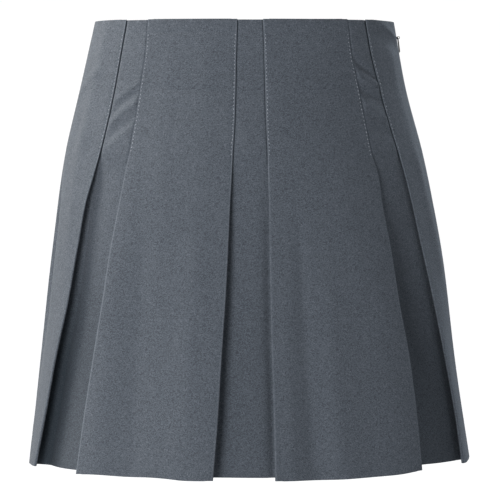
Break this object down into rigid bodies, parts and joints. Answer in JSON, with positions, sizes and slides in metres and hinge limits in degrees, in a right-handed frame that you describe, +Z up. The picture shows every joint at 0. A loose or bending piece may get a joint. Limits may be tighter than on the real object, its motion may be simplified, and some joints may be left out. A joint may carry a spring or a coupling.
{
  "type": "pleated mini skirt",
  "caption": "Short flared skirt with inverted box pleats stitched down over the hips, worn and hollow, with a concealed side zip.",
  "frame": {"origin": "middle of the waist opening, where the wearer's waist holds the skirt", "axes": "+Z up, out of the waist opening; the front faces -Y; +X is the side with the zip"},
  "size_m": [0.4009, 0.3247, 0.4034],
  "materials": {
    "suiting": "slate grey fine worsted weave with a soft matt face",
    "zip_tape": "dark grey woven polyester tape",
    "zip_metal": "dark grey enamel, satin"
  },
  "bodies": {
    "skirt": {"front_panel_left": "suiting", "front_panel_right": "suiting", "side_front_left": "suiting", "side_front_right": "suiting", "side_back_left": "suiting", "side_back_right": "suiting", "back_panel_left": "suiting", "back_panel_right": "suiting", "front_inset_left": "suiting", "front_inset_centre": "suiting", "front_inset_right": "suiting", "back_inset_left": "suiting", "back_inset_centre": "suiting", "back_inset_right": "suiting", "zip_tape_front": "zip_tape", "zip_tape_back": "zip_tape", "zip_slider": "zip_metal"},
    "pull_tab": {"zip_tab": "zip_metal"}
  },
  "joints": [
    {"name": "tab_swing", "type": "hinge", "parent": "skirt", "child": "pull_tab", "pos_m": [0.14082, 0, -0.01391], "axis": [0, -1, 0], "range_deg": [0, 160]}
  ]
}
